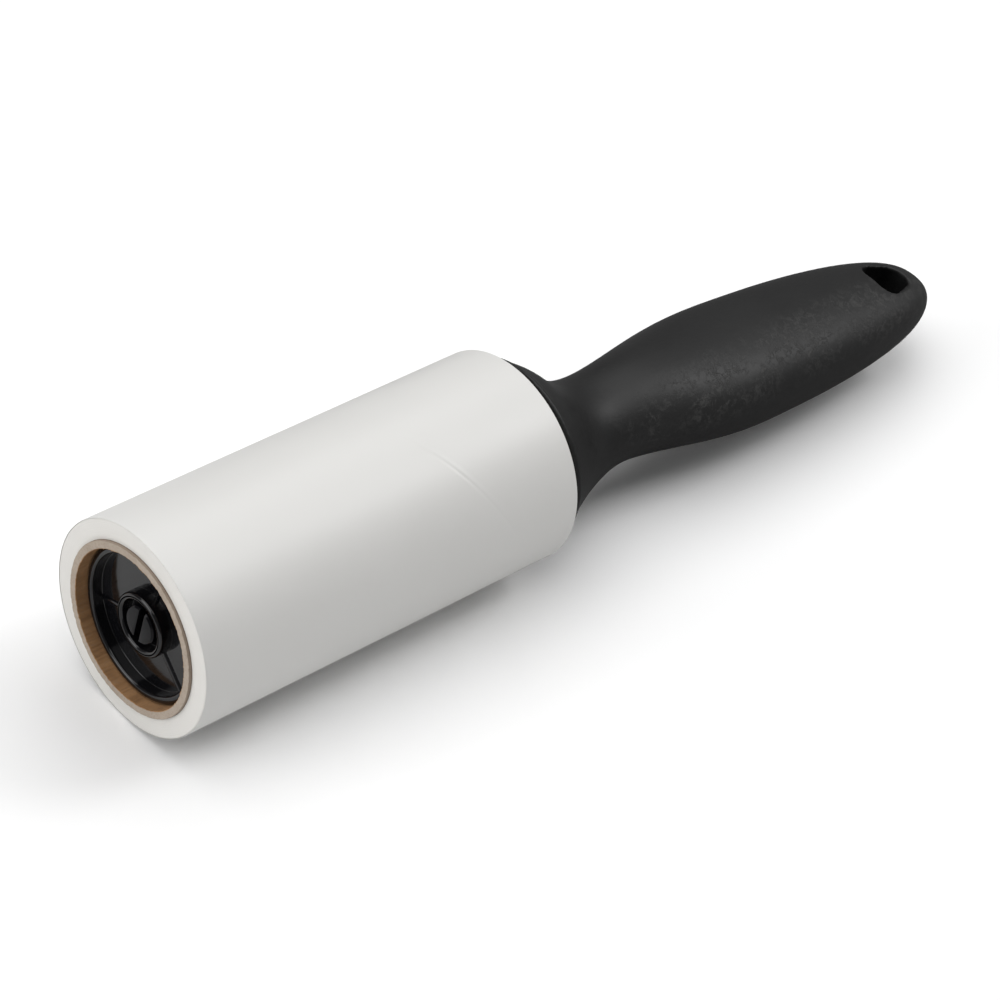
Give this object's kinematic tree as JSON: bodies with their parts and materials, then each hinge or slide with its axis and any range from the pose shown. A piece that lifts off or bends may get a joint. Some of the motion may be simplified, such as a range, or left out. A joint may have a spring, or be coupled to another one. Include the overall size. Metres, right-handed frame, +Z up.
{
  "type": "lint roller",
  "caption": "Hand-held adhesive lint roller: a wound-sheet refill on a cardboard tube turns on a black plastic handle with a hanging hole.",
  "frame": {"origin": "middle of the whole object's footprint, on the surface that the roll lies on", "axes": "+X along the roll's axis from its free end towards the handle's tip, +Z up, +Y completes the right-handed frame"},
  "size_m": [0.2393, 0.0486, 0.0486],
  "materials": {
    "grip_black": "fine matte texture",
    "core_black": "smooth gloss",
    "spool_black": "smooth gloss",
    "cardboard": "raw greyboard",
    "wound_paper": "cut edges of wound coated paper",
    "sheet_white": "coated paper with a tacky film"
  },
  "bodies": {
    "handle": {"handle_grip": "grip_black", "axle_core": "core_black"},
    "spool": {"spool": "spool_black"},
    "refill": {"refill_tube": "cardboard", "sheet_roll": "wound_paper", "outer_sheet": "sheet_white"}
  },
  "joints": [
    {"name": "spool_turn", "type": "hinge", "parent": "handle", "child": "spool", "pos_m": [-0.068, 0, 0.0243], "axis": [1, 0, 0], "continuous": true},
    {"name": "refill_pull", "type": "slide", "parent": "spool", "child": "refill", "axis": [-1, 0, 0], "range_m": [0, 0.105]}
  ]
}
